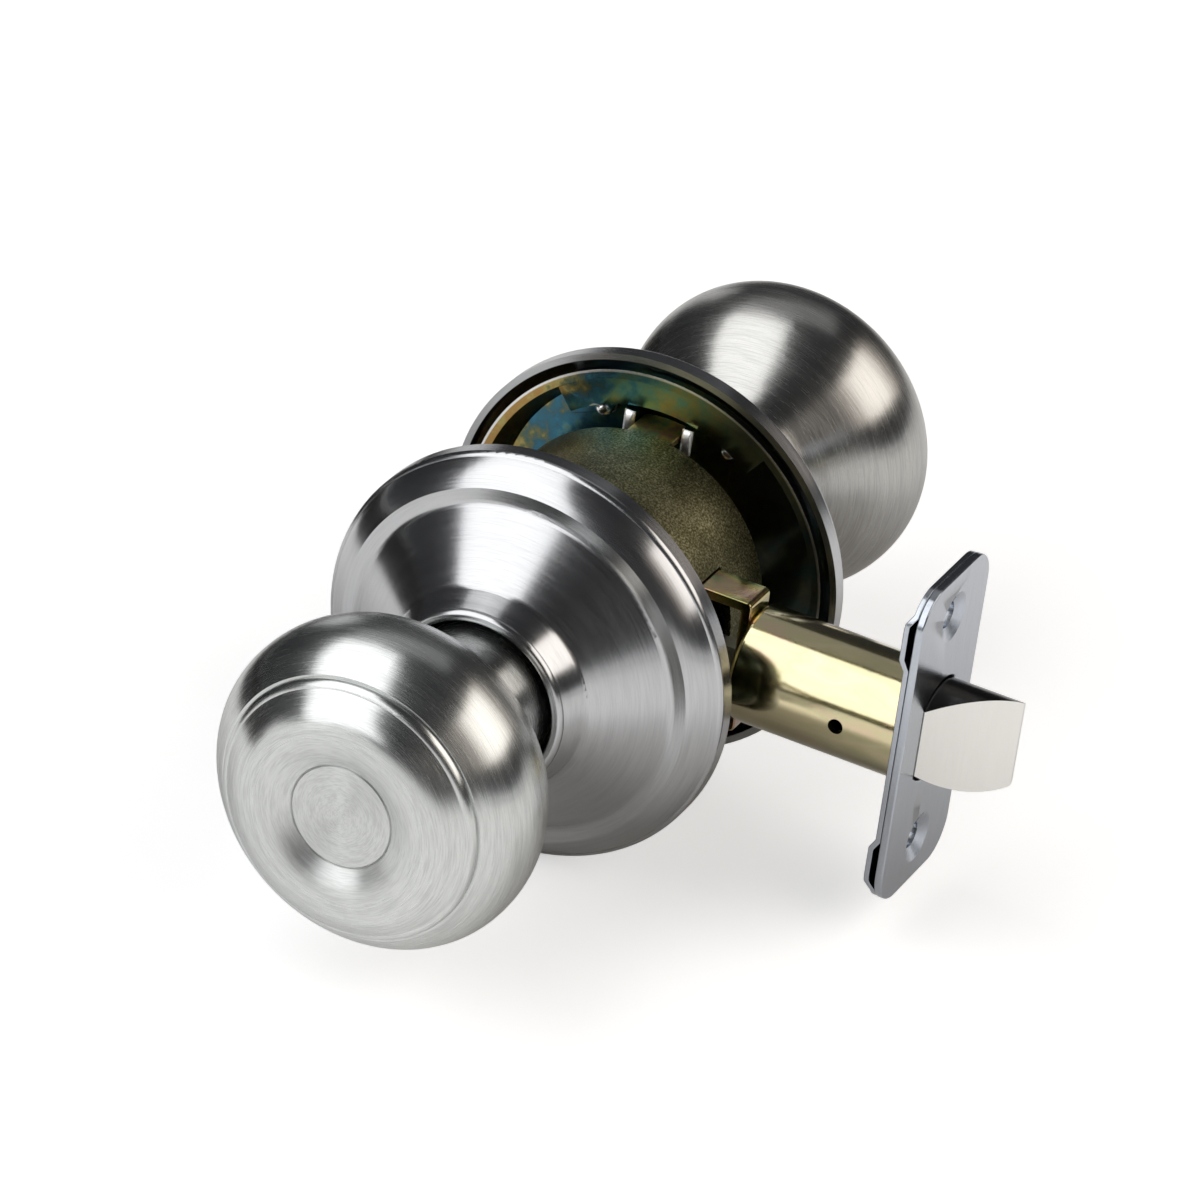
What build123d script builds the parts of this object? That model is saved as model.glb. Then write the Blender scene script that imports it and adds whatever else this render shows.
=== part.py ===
"""Passage lockset: two knobs and roses on a drum chassis, with a spring latch. Millimetres.

X runs toward the latch bolt, Y along the spindles with the inside of the door at +Y, Z up.
The origin is on the spindle axis at the door's mid-plane. Turned pieces are drawn as
(radius, distance along Y) on the inside of the door, and mirrored for the outside.
"""

import os
from math import radians, sqrt, tan

from build123d import *

# Door and fits
DOOR = 38.4  # slab between the two rose rims
RIM = DOOR / 2
GAP = 0.3  # between pieces that move past each other
RUN = 0.05  # radial running fit
SEAT = 0.1  # between sheet pieces that rest on each other
END_PLAY = 0.7  # at the ends of turning and sliding pieces
PAST = 1.0  # cutters run this far past a face

# Rose: drawn sheet, heights counted from the door face
ROSE_R = 35.5
ROSE_SHEET = 1.2
ROSE_WALL = 2.5
SHOULDER = 0.9
BAND_W = 4.5
BAND_RISE = 3.8  # from the shoulder to the flat step
BAND_BULGE = 0.15
STEP_W = 2.6  # flat step between the band and the cone
CONE_W = 10.8
CONE_SLOPE = 37.0  # degrees from the door's face
CONE_FILLET = 2.0
COLLAR_RISE = 3.9  # steep collar between the cone and the lip
LIP_R = 13.8
LIP_W = 1.4
LIP_FILLET = 0.5  # run-out of the lip's roll into the collar
LIP_ROLL = 1.2
BAND_R = ROSE_R - BAND_W
STEP_H = ROSE_WALL + SHOULDER + BAND_RISE
CONE_R = BAND_R - STEP_W
BEND_R = CONE_R - CONE_W
BEND_H = STEP_H + CONE_W * tan(radians(CONE_SLOPE))
COLLAR_H = BEND_H + COLLAR_RISE
LIP_H = COLLAR_H + LIP_ROLL

# Knob: drawn shell with a crimped face, heights counted from the door face
NECK_R = 12.4
NECK_FOOT = 9.5
NECK_TOP = 27.4
KNOB_R = 27.4
KNOB_RISE = 23.0  # from the neck's top to the widest place
FLARE_W = 5.8  # middle of the flared back, out from the neck
FLARE_RISE = 8.4
FLARE_SLOPE = 1.15
CREASE_IN = 4.8  # crease inside the widest place
CREASE_RISE = 9.5
CREASE_W = 0.45
CREST_R = 14.2
CREST_RISE = 4.9
DISC_R = 8.5
DISH = 1.9
DISH_SLOPE = 0.5
RING_W = 0.4
RING_DEPTH = 0.3
KNOB_SHEET = 1.2
BEAD_W = 1.2
BEAD_RISE = 1.55
KNOB_H = NECK_TOP + KNOB_RISE
CREASE_R = KNOB_R - CREASE_IN
CREASE_H = KNOB_H + CREASE_RISE
CREST_H = CREASE_H + CREST_RISE
DISC_H = CREST_H - DISH

# Spindles and hubs
SPINDLE_R = 9.5
SPINDLE_WALL = 1.2
SPINDLE_END = 48.0  # height of the free end inside the knob
CAM_R = 12.7  # also the bolt's travel over the cam's turn
CAM_HALF = 60.0  # degrees each side of +X, and the knob's turn
CAM_Y = 5.0
HUB_WALL = 1.75
HUB_FLANGE = 13.2
HUB_PLATE = 1.2
HUB_R = SPINDLE_R + RUN + HUB_WALL

# Chassis drum
DRUM_R = 24.0
DRUM_WALL = 1.2
DRUM_HALF = 15.5
END_PLATE = 1.6
TONGUE_W = 8.0
TONGUE_END = 22.5
DRUM_BORE = DRUM_R - DRUM_WALL
END_IN = DRUM_HALF - END_PLATE
HUB_IN = END_IN - HUB_PLATE
HUB_END = RIM + NECK_FOOT - END_PLAY

# Retractor and its cage
CAGE_SHEET = 1.2
CAGE_Z = 13.5
CAGE_SEAT = 0.17  # between the cage's corners and the drum's bore
CAGE_FRONT = 14.0
CAGE_TOP = CAGE_Z + CAGE_SHEET
CAGE_BACK = CAGE_SHEET - sqrt((DRUM_BORE - CAGE_SEAT) ** 2 - CAGE_TOP**2)
CAGE_Y = HUB_IN - GAP
SHOE_Z = CAGE_Z - GAP
SHOE_LOW = 10.7
SHOE_T = 3.0
SHOE_GAP = 0.5
SHOE_Y = HUB_IN - END_PLAY
SHOE_X = SHOE_LOW / tan(radians(CAM_HALF)) - SHOE_GAP
WEB_Y = 3.5
JAW_Z = 3.0
JAW_T = 2.0

# Liner and mounting plate, heights counted from the door face
PLATE_IN = 1.7  # between the rose's wall and the plate's rim
PLATE_R = ROSE_R - ROSE_SHEET - PLATE_IN
PLATE_SHEET = 1.0
PLATE_LIP = 1.6
PLATE_DRAFT = 0.6
PLATE_BACK = STEP_H - ROSE_SHEET - SEAT
PLATE_FLOOR = PLATE_BACK - PLATE_SHEET
PLATE_FOOT = BAND_R - 0.6 * STEP_W
LAND_W = 6.3
LAND_R = PLATE_R - LAND_W
LAND_H = 0.6
LAND_ARC = 76.0
LUG_T = 2.0
LUG_IN = 2.3
LUG_OUT = 1.2
LUG_LOW = DRUM_BORE - LUG_IN
LUG_TOP = DRUM_R + LUG_OUT
LUG_END = RIM - 0.2
DIMPLE_X = 11.6
DIMPLE_IN = 2.0
DIMPLE_Z = DRUM_R - DIMPLE_IN
DIMPLE_R = 1.5
DIMPLE_LONG = 1.4

# Mounting screws
SCREW_EDGE = 3.3  # from the hub's flange to the screw's centre
SCREW_X = HUB_FLANGE + SCREW_EDGE
SCREW_R = 2.0
SCREW_HEAD_R = 3.6
SCREW_HEAD = 2.4
SCREW_SLOT = 1.0
SCREW_CUT = 1.2
SCREW_FIT = 0.2

# Latch case and plates
FACE_X = 62.8
FACE_T = 1.4
BACKPLATE_T = 0.9
PLATE_W = 25.4
PLATE_H = 57.15
PLATE_CORNER = 6.35
HOLE_Z = 20.65
HOLE_R = 2.3
SINK_R = 4.3
SINK_H = 1.1
SINK_WALL = 0.5  # of the pressed countersink
BULGE_HALF = 4.9  # channel pressed across the backplate behind each screw hole
BULGE_RUN = 1.7
BULGE_H = 1.0
TUBE_R = 9.9
TUBE_WALL = 1.2
TUBE_X = 30.0
TUBE_ROUND = 1.1
CROSS_X = 49.7
CROSS_R = 1.3
YOKE_X = 18.0
YOKE_T = 1.8
YOKE_Z = 12.0
YOKE_Y = 3.5
YOKE_ROUND = 1.0
TUBE_BORE = TUBE_R - TUBE_WALL
TUBE_FRONT = FACE_X - FACE_T

# Latch bolt and tail
THROW = CAM_R
BOLT_R = TUBE_BORE - 2 * RUN
BOLT_BACK = 49.5
BOLT_NEAR = 6.2  # flat on the bevelled side
BOLT_FAR = 4.9
BOLT_TIP = 1.3
BEVEL_BULGE = 0.6
BOLT_ROUND = 0.5
TAIL_Y = 1.5
TAIL_Z = 1.9
TAIL_IN = 7.5
HEAD_IN = 3.2  # from the shoes to the tail's head
HEAD_X = SHOE_X + HEAD_IN
HEAD_T = 2.4
HEAD_Z = 4.2
PIN_R = 1.25

# Springs
RETURN_R = 2.0
RETURN_WIRE = 0.7
RETURN_TURNS = 6
RETURN_Z = SHOE_Z - RETURN_R - RETURN_WIRE
COIL_R = 5.0
COIL_WIRE = 0.9
COIL_TURNS = 5

# Knob catch
CATCH_H = 25.0
CATCH_R = 1.5
CATCH_TIP = 0.3  # below the neck's surface
LEAF_T = 0.8
LEAF_Z = 2.5
LEAF_LONG = 20.0
LEAF_PAST = 4.0  # beyond the pin
CATCH_FIT = 0.1


def turned(edges, arc=360.0):
    """Turn a closed (radius, distance) outline about the spindle axis, centred on +X."""
    solid = revolve(make_face(edges), Axis.Y, arc)
    return Rot(0, -arc / 2, 0) * solid


def ring(inner, outer, low, high, arc=360.0):
    """Turn a plain rectangular section."""
    corners = [(inner, low), (outer, low), (outer, high), (inner, high)]
    return turned(Polyline(*corners, close=True).edges(), arc)


def block(x0, x1, y0, y1, z0, z1):
    """Box between two corners."""
    middle = Pos((x0 + x1) / 2, (y0 + y1) / 2, (z0 + z1) / 2)
    return middle * Box(x1 - x0, y1 - y0, z1 - z0)


def rod(radius, start, end):
    """Cylinder between two points."""
    line = Vector(*end) - Vector(*start)
    return extrude(Plane(origin=start, z_dir=line) * Circle(radius), line.length)


def mirrored_z(shape):
    """The shape with its copy below the spindle axis."""
    return shape + mirror(shape, Plane.XY)


def outside(shape):
    """Copy of an inside piece on the other face of the door."""
    return mirror(shape, Plane.XZ)


def coil(x0, x1, radius, wire, turns, z=0.0):
    """Round-coiled compression spring along X, its wire drawn with eight flats."""
    long = x1 - x0 - wire
    path = Helix(long / turns, long, radius, center=(x0 + wire / 2, 0, z), direction=(1, 0, 0))
    section = Plane(origin=path @ 0, z_dir=path % 0) * RegularPolygon(wire / 2, 8)
    return sweep(section, path=path, is_frenet=True)


def height(points):
    """Move (radius, height over the door face) points out to the inside face."""
    return [(r, RIM + h) for r, h in points]


def inset(before, corner, after, depth):
    """Corner of the line that runs at a depth below two sides of an outline."""
    first = (Vector(*corner) - Vector(*before)).normalized()
    second = (Vector(*after) - Vector(*corner)).normalized()
    below = Vector(-first.Y, first.X) + Vector(-second.Y, second.X)
    place = Vector(*corner) + below * (depth / (1 + first.dot(second)))
    return place.X, place.Y


def rose():
    """Sheet cover: straight wall, sloping band, flat step, cone, steep collar and rolled lip."""
    rim, wall, corner, top, band, mid = height([
        (ROSE_R, 0),
        (ROSE_R, ROSE_WALL),
        (ROSE_R - 0.25 * SHOULDER, ROSE_WALL + 0.65 * SHOULDER),
        (ROSE_R - 0.8 * SHOULDER, ROSE_WALL + SHOULDER),
        (BAND_R, STEP_H),
        ((ROSE_R + BAND_R) / 2, (ROSE_WALL + SHOULDER + STEP_H) / 2 + BAND_BULGE),
    ])
    cone, bend, collar, crown, lip, in_wall, in_rim = height([
        (CONE_R, STEP_H),
        (BEND_R, BEND_H),
        (LIP_R + LIP_W + LIP_FILLET, COLLAR_H),
        (LIP_R + 0.5 * LIP_W, LIP_H),
        (LIP_R, LIP_H - LIP_FILLET),
        (ROSE_R - ROSE_SHEET, ROSE_WALL),
        (ROSE_R - ROSE_SHEET, 0),
    ])
    in_band = inset(top, band, cone, ROSE_SHEET)
    in_cone = inset(band, cone, bend, ROSE_SHEET)
    in_bend = inset(cone, bend, collar, ROSE_SHEET)
    return turned([
        Line(rim, wall),
        ThreePointArc(wall, corner, top),
        ThreePointArc(top, mid, band),
        *FilletPolyline(band, cone, bend, collar, radius=CONE_FILLET).edges(),
        ThreePointArc(collar, crown, lip),
        *Polyline(lip, in_bend, in_cone, in_band, in_wall, in_rim, rim).edges(),
    ])


def knob_shank():
    """Neck of the knob on its spindle, with the catch's hole."""
    sleeve = ring(SPINDLE_R + RUN, NECK_R, RIM + NECK_FOOT, RIM + NECK_TOP)
    return sleeve - catch_hole(CATCH_R + 2 * CATCH_FIT)


def knob_shell():
    """Back of the knob, flared from the neck to a rounded shoulder, open at the front."""
    steep = sqrt(1 + FLARE_SLOPE * FLARE_SLOPE)
    flare_r, flare_h = NECK_R + FLARE_W, NECK_TOP + FLARE_RISE
    neck, flare, wide, crease = height([
        (NECK_R, NECK_TOP),
        (flare_r, flare_h),
        (KNOB_R, KNOB_H),
        (CREASE_R, CREASE_H),
    ])
    in_neck, in_flare, in_wide, in_crease = height([
        (NECK_R - KNOB_SHEET, NECK_TOP),
        (flare_r - KNOB_SHEET / steep, flare_h + KNOB_SHEET * FLARE_SLOPE / steep),
        (KNOB_R - KNOB_SHEET, KNOB_H),
        (CREASE_R - 1.3 * KNOB_SHEET, CREASE_H),
    ])
    axial, fall = (0, 1), (-0.8, 0.8)
    flaring = [axial, (FLARE_SLOPE, 1), axial]
    return turned([
        Spline(neck, flare, wide, tangents=flaring),
        Spline(wide, crease, tangents=[axial, fall]),
        Line(crease, in_crease),
        Spline(in_wide, in_crease, tangents=[axial, fall]),
        Spline(in_neck, in_flare, in_wide, tangents=flaring),
        Line(in_neck, neck),
    ])


def knob_face():
    """Crimped front: round shoulder, raised crest and a ringed flat disc at the bottom of a dish."""
    edge = CREASE_R - CREASE_W
    side, bend, rise, crest, ring_out, ring_low, disc, pole = height([
        (edge, CREASE_H),
        (edge - 0.2 * BEAD_W, CREASE_H + 0.6 * BEAD_RISE),
        (edge - BEAD_W, CREASE_H + BEAD_RISE),
        (CREST_R, CREST_H),
        (DISC_R + RING_W, DISC_H),
        (DISC_R + 0.5 * RING_W, DISC_H - RING_DEPTH),
        (DISC_R, DISC_H),
        (0, DISC_H),
    ])
    in_pole, in_disc, in_crest, in_rise, in_side = height([
        (0, DISC_H - KNOB_SHEET),
        (DISC_R, DISC_H - KNOB_SHEET),
        (CREST_R, CREST_H - KNOB_SHEET),
        (edge - 1.6 * KNOB_SHEET, CREASE_H + 0.4 * KNOB_SHEET),
        (edge - 1.6 * KNOB_SHEET, CREASE_H),
    ])
    inward, climb, sink = (-1, 0), (-0.77, 0.64), (-1, -DISH_SLOPE)
    return turned([
        ThreePointArc(side, bend, rise),
        Spline(rise, crest, tangents=[climb, inward]),
        Spline(crest, ring_out, tangents=[inward, sink]),
        *Polyline(ring_out, ring_low, disc, pole, in_pole, in_disc).edges(),
        Spline(in_crest, in_disc, tangents=[inward, sink]),
        *Polyline(in_crest, in_rise, in_side, side).edges(),
    ])


def catch_hole(radius):
    """Radial drill at the catch, through the wall on the latch side."""
    y = RIM + CATCH_H
    return rod(radius, (0, y, 0), (KNOB_R, y, 0))


def spindle():
    """Tube in the hub with the cam that pushes the retractor's shoes."""
    bore = SPINDLE_R - SPINDLE_WALL
    end = HUB_IN - GAP
    tube = ring(bore, SPINDLE_R, end, RIM + SPINDLE_END)
    cam = ring(bore, CAM_R, CAM_Y, end, 2 * CAM_HALF)
    return tube + cam - catch_hole(CATCH_R + CATCH_FIT)


def knob_catch():
    """Leaf spring in the spindle with the pin that locks the knob."""
    y = RIM + CATCH_H
    bore = SPINDLE_R - SPINDLE_WALL
    back = sqrt(bore * bore - LEAF_Z * LEAF_Z) - SEAT
    leaf = block(back - LEAF_T, back, y - LEAF_LONG, y + LEAF_PAST, -LEAF_Z, LEAF_Z)
    pin = rod(CATCH_R, (back - LEAF_T, y, 0), (NECK_R - CATCH_TIP, y, 0))
    return leaf + pin


def hub():
    """Sleeve flanged inside the drum; the spindle turns in it."""
    bore = SPINDLE_R + RUN
    return ring(bore, HUB_FLANGE, HUB_IN, END_IN) + ring(bore, HUB_R, END_IN, HUB_END)


def plate_outline(land=False):
    """Dished sheet: rim on the door, wall, floor at the hub; the land steps the wall inward."""
    wall = [(PLATE_FOOT - PLATE_DRAFT, PLATE_FLOOR), (PLATE_R - PLATE_LIP, 0)]
    back = [(PLATE_R - PLATE_LIP + PLATE_DRAFT, PLATE_SHEET), (PLATE_FOOT, PLATE_BACK)]
    if land:
        wall = [(LAND_R, PLATE_FLOOR), (LAND_R, LAND_H), (PLATE_R - PLATE_LIP, LAND_H)]
        wall = wall + [(PLATE_R - PLATE_LIP, 0)]
        back = [(LAND_R + PLATE_SHEET, LAND_H + PLATE_SHEET), (LAND_R + PLATE_SHEET, PLATE_BACK)]
        back = [(PLATE_R, LAND_H + PLATE_SHEET)] + back
    rim = [(PLATE_R, 0)]
    if not land:
        rim = rim + [(PLATE_R, PLATE_SHEET)]
    corners = [(HUB_R, PLATE_FLOOR), *wall, *rim, *back, (HUB_R, PLATE_BACK)]
    return Polyline(*height(corners), close=True).edges()


def mounting_plate():
    """Inside plate with the raised land, the two lugs for the drum's tongue and two dimples."""
    dished = Rot(0, 90, 0) * turned(plate_outline(), 360 - LAND_ARC)
    land = Rot(0, -90, 0) * turned(plate_outline(land=True), LAND_ARC)
    floor = RIM + PLATE_FLOOR
    plate = dished + land
    for side in (-1, 1):
        near = side * (TONGUE_W / 2 + GAP)
        low, high = sorted((near, near + side * LUG_T))
        plate += block(low, high, LUG_END, floor, LUG_LOW, LUG_TOP)
        tip = (side * DIMPLE_X, floor - DIMPLE_LONG, DIMPLE_Z)
        plate += rod(DIMPLE_R, tip, (side * DIMPLE_X, floor + 0.5 * PLATE_SHEET, DIMPLE_Z))
        plate += Pos(*tip) * Sphere(DIMPLE_R)
        start = (side * SCREW_X, floor - PAST, 0)
        plate -= rod(SCREW_R + SCREW_FIT, start, (side * SCREW_X, RIM + PLATE_BACK + PAST, 0))
    return plate


def mounting_screw(side):
    """Pan-headed screw from the mounting plate into the chassis end plate."""
    x = side * SCREW_X
    head = RIM + PLATE_BACK
    shank = rod(SCREW_R, (x, END_IN - GAP, 0), (x, head, 0))
    cap = rod(SCREW_HEAD_R, (x, head, 0), (x, head + SCREW_HEAD, 0))
    top = head + SCREW_HEAD
    slot = 0.7 * SCREW_HEAD_R
    cross = block(x - slot, x + slot, top - SCREW_CUT, top + PAST, -SCREW_SLOT / 2, SCREW_SLOT / 2)
    return shank + cap - cross - Pos(x, 0, 0) * Rot(0, 90, 0) * Pos(-x, 0, 0) * cross


def chassis_housing():
    """Drum closed at the outside end, with the latch window and the locating tongue."""
    drum = ring(DRUM_BORE, DRUM_R, -DRUM_HALF, DRUM_HALF)
    drum += ring(HUB_R, DRUM_BORE, -DRUM_HALF, -END_IN)
    window = block(0, DRUM_R + PAST, -YOKE_Y - GAP, YOKE_Y + GAP, -YOKE_Z - GAP, YOKE_Z + GAP)
    strip = block(-TONGUE_W / 2, TONGUE_W / 2, DRUM_HALF, TONGUE_END, 0, DRUM_R + PAST)
    tongue = ring(DRUM_BORE, DRUM_R, DRUM_HALF, TONGUE_END) & strip
    return drum - window + tongue


def chassis_end_plate():
    """Disc that closes the inside end of the drum and takes the mounting screws."""
    plate = ring(HUB_R, DRUM_BORE, END_IN, DRUM_HALF)
    for side in (-1, 1):
        x = side * SCREW_X
        plate -= rod(SCREW_R, (x, END_IN - PAST, 0), (x, DRUM_HALF + PAST, 0))
    return plate


def retractor_cage():
    """Channel seated in the drum: the retractor slides between its flanges."""
    wide = (-CAGE_Y, CAGE_Y)
    back = block(CAGE_BACK - CAGE_SHEET, CAGE_BACK, *wide, -CAGE_TOP, CAGE_TOP)
    return back + mirrored_z(block(CAGE_BACK, CAGE_FRONT, *wide, CAGE_Z, CAGE_TOP))


def retractor():
    """Slide with cross shoes for the cams and hooked jaws around the latch tail's head."""
    back = SHOE_X - SHOE_T
    arm = HEAD_Z + GAP
    hook = HEAD_X + HEAD_T + GAP
    web = block(back, SHOE_X, -WEB_Y, WEB_Y, -SHOE_Z, SHOE_Z)
    shoe = block(back, SHOE_X, -SHOE_Y, SHOE_Y, SHOE_LOW, SHOE_Z)
    jaw = block(SHOE_X, hook + JAW_T, -WEB_Y, WEB_Y, arm, arm + JAW_Z)
    jaw += block(hook, hook + JAW_T, -WEB_Y, WEB_Y, TAIL_Z + GAP, arm)
    return web + mirrored_z(shoe) + mirrored_z(jaw)


def face_outline(x, inset=0.0):
    """Rounded plate outline across the latch axis."""
    width, tall = PLATE_W - 2 * inset, PLATE_H - 2 * inset
    return Plane.YZ.offset(x) * RectangleRounded(width, tall, PLATE_CORNER - inset)


def bolt_section(x, clear=0.0):
    """Round bar with two flats, across the latch axis."""
    near, far = BOLT_NEAR + clear, BOLT_FAR + clear
    flats = Pos((far - near) / 2, 0) * Rectangle(near + far, 4 * BOLT_R)
    return Plane.YZ.offset(x) * (Circle(BOLT_R + clear) & flats)


def cone_x(x0, x1, r0, r1, z):
    """Cone frustum along X, radius r0 at x0 and r1 at x1."""
    return Pos((x0 + x1) / 2, 0, z) * Rot(0, 90, 0) * Cone(r0, r1, x1 - x0)


def channel(x, half, z):
    """Pressed channel across the latch plates, behind a plane at x."""
    flat = half - BULGE_RUN
    corners = [(x, z - half), (x - BULGE_H, z - flat), (x - BULGE_H, z + flat), (x, z + half)]
    return extrude(Plane.XZ * make_face(Polyline(*corners, close=True).edges()), PLATE_W, both=True)


def latch_faceplate():
    """Front plate with the bolt's opening and two pressed, countersunk holes."""
    plate = extrude(face_outline(TUBE_FRONT), FACE_T)
    plate -= extrude(bolt_section(TUBE_FRONT - PAST, GAP), FACE_T + 2 * PAST)
    bottom = TUBE_FRONT - BULGE_H + SEAT
    for z in (-HOLE_Z, HOLE_Z):
        plate += cone_x(bottom, TUBE_FRONT, HOLE_R + SINK_WALL, SINK_R, z)
        plate -= rod(HOLE_R, (bottom - PAST, 0, z), (FACE_X + PAST, 0, z))
        plate -= cone_x(FACE_X - SINK_H, FACE_X, HOLE_R, SINK_R, z)
    return plate


def latch_backplate():
    """Rear plate on the tube, pressed back in a channel behind each screw hole."""
    back = TUBE_FRONT - BACKPLATE_T
    rear = back - BULGE_H
    swell = extrude(face_outline(rear, SEAT), BULGE_H)
    plate = extrude(face_outline(back, SEAT), BACKPLATE_T)
    plate -= rod(TUBE_R, (back - PAST, 0, 0), (TUBE_FRONT + PAST, 0, 0))
    narrower = BACKPLATE_T * BULGE_H / (BULGE_RUN + sqrt(BULGE_RUN**2 + BULGE_H**2))
    for z in (-HOLE_Z, HOLE_Z):
        plate += channel(back, BULGE_HALF, z) & swell
        plate -= channel(TUBE_FRONT, BULGE_HALF - narrower, z)
        plate -= rod(HOLE_R, (rear - PAST, 0, z), (TUBE_FRONT + PAST, 0, z))
    return plate


def latch_tube():
    """Drawn case with a rounded, slotted end and a small cross hole."""
    tube = rod(TUBE_R, (TUBE_X, 0, 0), (TUBE_FRONT, 0, 0))
    tube = fillet(tube.edges().sort_by(Axis.X)[0], TUBE_ROUND)
    tube -= rod(TUBE_BORE, (TUBE_X + TUBE_WALL, 0, 0), (TUBE_FRONT + PAST, 0, 0))
    tube -= tail_slot(TUBE_X - PAST, TUBE_X + TUBE_WALL + PAST)
    return tube - rod(CROSS_R, (CROSS_X, -TUBE_R - PAST, 0), (CROSS_X, 0, 0))


def tail_slot(x0, x1):
    """Clearance for the latch tail between two stations."""
    return block(x0, x1, -TAIL_Y - GAP, TAIL_Y + GAP, -TAIL_Z - GAP, TAIL_Z + GAP)


def latch_yoke():
    """Bent strap behind the tube whose two prongs locate in the drum's window."""
    web = block(TUBE_X - YOKE_T, TUBE_X, -YOKE_Y, YOKE_Y, -YOKE_Z, YOKE_Z)
    prong = block(YOKE_X, TUBE_X - YOKE_T, -YOKE_Y, YOKE_Y, YOKE_Z - YOKE_T, YOKE_Z)
    bent = fillet((web + mirrored_z(prong)).edges().filter_by(Axis.Y).group_by(Axis.X)[-1], YOKE_ROUND)
    return bent - tail_slot(TUBE_X - YOKE_T - PAST, TUBE_X + PAST)


def latch_bolt():
    """Spring bolt: flatted round bar with a curved bevel facing the outside."""
    tip = FACE_X + THROW
    root = (FACE_X + SEAT, -BOLT_NEAR)
    nose = (tip, BOLT_FAR - BOLT_TIP)
    bar = extrude(bolt_section(BOLT_BACK), tip - BOLT_BACK)
    long = Vector(*nose) - Vector(*root)
    side = Vector(long.Y, -long.X).normalized() * BEVEL_BULGE
    middle = (Vector(*root) + Vector(*nose)) * 0.5 + side
    beyond, below = tip + BOLT_R, -BOLT_NEAR - BOLT_R
    outline = [ThreePointArc(root, (middle.X, middle.Y), nose)]
    outline += Polyline(nose, (beyond, nose[1]), (beyond, below), (root[0], below), root).edges()
    wedge = extrude(make_face(outline), 2 * BOLT_R, both=True)
    bolt = bar - wedge
    bolt = fillet(bolt.edges().filter_by(Axis.Z).group_by(Axis.X)[-1], BOLT_ROUND)
    bolt -= block(BOLT_BACK - PAST, BOLT_BACK + TAIL_IN, -TAIL_Y, TAIL_Y, -TAIL_Z, TAIL_Z)
    return bolt - pin_rod()


def pin_rod():
    """Cross pin through the bolt and its tail."""
    x = BOLT_BACK + TAIL_IN / 2
    return rod(PIN_R, (x, -BOLT_NEAR, 0), (x, BOLT_FAR, 0))


def latch_tail():
    """Flat bar pinned in the bolt, with the cross head that the retractor hooks."""
    bar = block(HEAD_X, BOLT_BACK + TAIL_IN, -TAIL_Y, TAIL_Y, -TAIL_Z, TAIL_Z)
    head = block(HEAD_X, HEAD_X + HEAD_T, -TAIL_Y, TAIL_Y, -HEAD_Z, HEAD_Z)
    return bar + head - pin_rod()


def return_spring(z):
    """Spring between the cage's back and the retractor."""
    return coil(CAGE_BACK, SHOE_X - SHOE_T, RETURN_R, RETURN_WIRE, RETURN_TURNS, z)


def main():
    """Build every piece and write one STEP file per node."""
    outline = turned(plate_outline())
    nodes = {
        "chassis_housing": chassis_housing(),
        "chassis_end_plate": chassis_end_plate(),
        "retractor_cage": retractor_cage(),
        "retractor": retractor(),
        "retractor_spring_upper": return_spring(RETURN_Z),
        "retractor_spring_lower": return_spring(-RETURN_Z),
        "outside_rose_liner": outside(outline),
        "mounting_plate": mounting_plate(),
        "mounting_screw_left": mounting_screw(-1),
        "mounting_screw_right": mounting_screw(1),
        "latch_tube": latch_tube(),
        "latch_yoke": latch_yoke(),
        "latch_backplate": latch_backplate(),
        "latch_faceplate": latch_faceplate(),
        "latch_bolt": latch_bolt(),
        "latch_tail": latch_tail(),
        "latch_tail_pin": pin_rod(),
        "bolt_spring": coil(TUBE_X + TUBE_WALL, BOLT_BACK, COIL_R, COIL_WIRE, COIL_TURNS),
    }
    paired = {
        "rose": rose,
        "hub": hub,
        "spindle": spindle,
        "knob_shank": knob_shank,
        "knob_shell": knob_shell,
        "knob_face": knob_face,
        "knob_catch": knob_catch,
    }
    for name, make in paired.items():
        shape = make()
        nodes["inside_" + name] = shape
        nodes["outside_" + name] = outside(shape)
    os.makedirs("parts", exist_ok=True)
    for name, shape in nodes.items():
        export_step(shape, f"parts/{name}.step")
        print(name, round(shape.volume, 1))


if __name__ == "__main__":
    main()
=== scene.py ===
"""Looks of a passage lockset: finishes, rounded sheet edges, screw threads and the studio.

The frame's axes: X toward the latch bolt, Y along the spindles with the inside of the door at +Y,
Z up. Blender's unit is the metre, and sizes below are in millimetres unless a name says otherwise.
"""

import logging
import math
from dataclasses import dataclass
from enum import Enum

import bmesh
import bpy
import numpy as np
from mathutils import Matrix, Vector


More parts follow.
